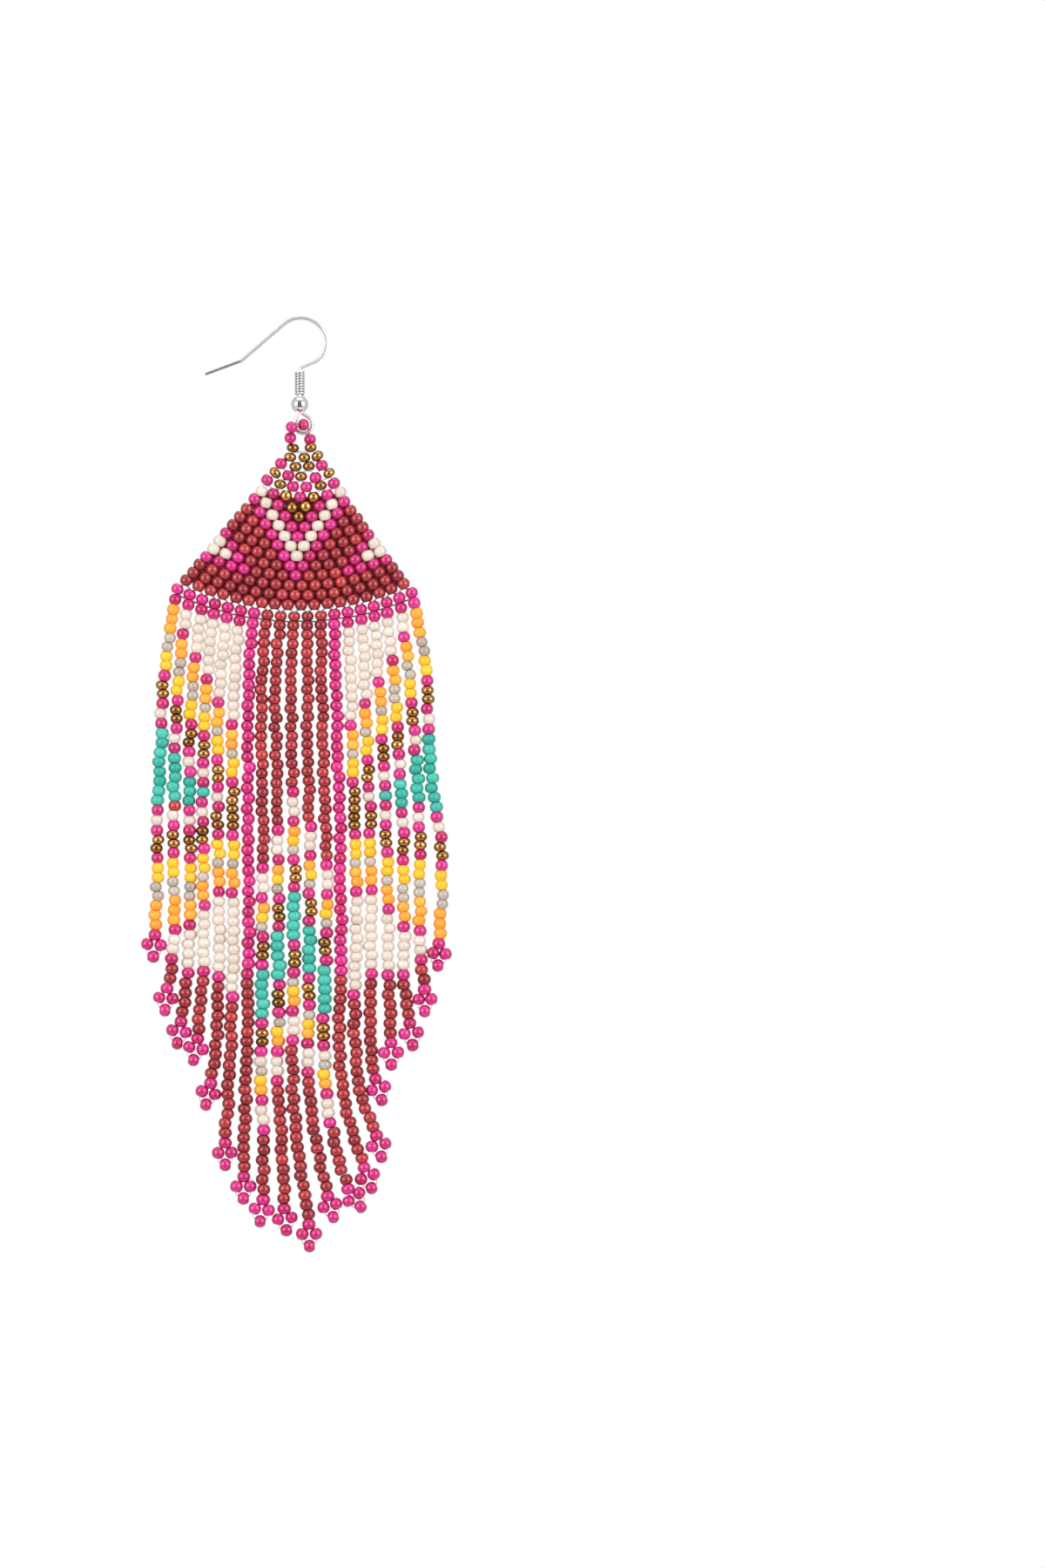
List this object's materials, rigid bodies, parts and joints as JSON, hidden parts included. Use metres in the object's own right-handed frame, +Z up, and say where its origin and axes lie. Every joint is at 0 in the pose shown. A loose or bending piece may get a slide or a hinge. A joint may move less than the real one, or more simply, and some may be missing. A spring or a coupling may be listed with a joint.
{
  "type": "beaded fringe earring",
  "caption": "Long drop earring: a wire ear hook with coil and ball carries a bead loop, a stitched fan of seed beads and a graduated fringe of bead strands.",
  "frame": {"origin": "inside of the top of the hook's round bend, where the hook rests in the ear", "axes": "+Z up, -Y the front that the picture shows, +X towards the round side of the hook's bend"},
  "size_m": [0.0541, 0.0043, 0.1638],
  "materials": {
    "hook_wire": "bright silver-coloured plated wire, polished",
    "hook_ball": "bright silver-coloured plated ball, polished",
    "loop_beads": "opaque magenta glass seed beads, softly glossy",
    "thread": "fine pale grey beading thread",
    "fan_beads": "opaque glass seed beads, charted in magenta, dark red, cream and bronze",
    "fringe_beads": "opaque glass seed beads, charted in magenta, dark red, cream, orange, yellow, pearl grey, bronze and teal"
  },
  "bodies": {
    "hook": {"ear_hook": "hook_wire", "hook_coil": "hook_wire", "hook_ball": "hook_ball"},
    "drop": {"loop_beads": "loop_beads", "loop_thread": "thread", "bead_fan": "fan_beads", "strand_01": "fringe_beads", "strand_02": "fringe_beads", "strand_03": "fringe_beads", "strand_04": "fringe_beads", "strand_05": "fringe_beads", "strand_06": "fringe_beads", "strand_07": "fringe_beads", "strand_08": "fringe_beads", "strand_09": "fringe_beads", "strand_10": "fringe_beads", "strand_11": "fringe_beads", "strand_12": "fringe_beads", "strand_13": "fringe_beads", "strand_14": "fringe_beads", "strand_15": "fringe_beads", "strand_16": "fringe_beads", "strand_17": "fringe_beads", "strand_18": "fringe_beads", "strand_19": "fringe_beads"}
  },
  "joints": [
    {"name": "drop_swing", "type": "hinge", "parent": "hook", "child": "drop", "pos_m": [0, 0, -0.01965], "axis": [1, 0, 0], "range_deg": [-20, 20]}
  ]
}
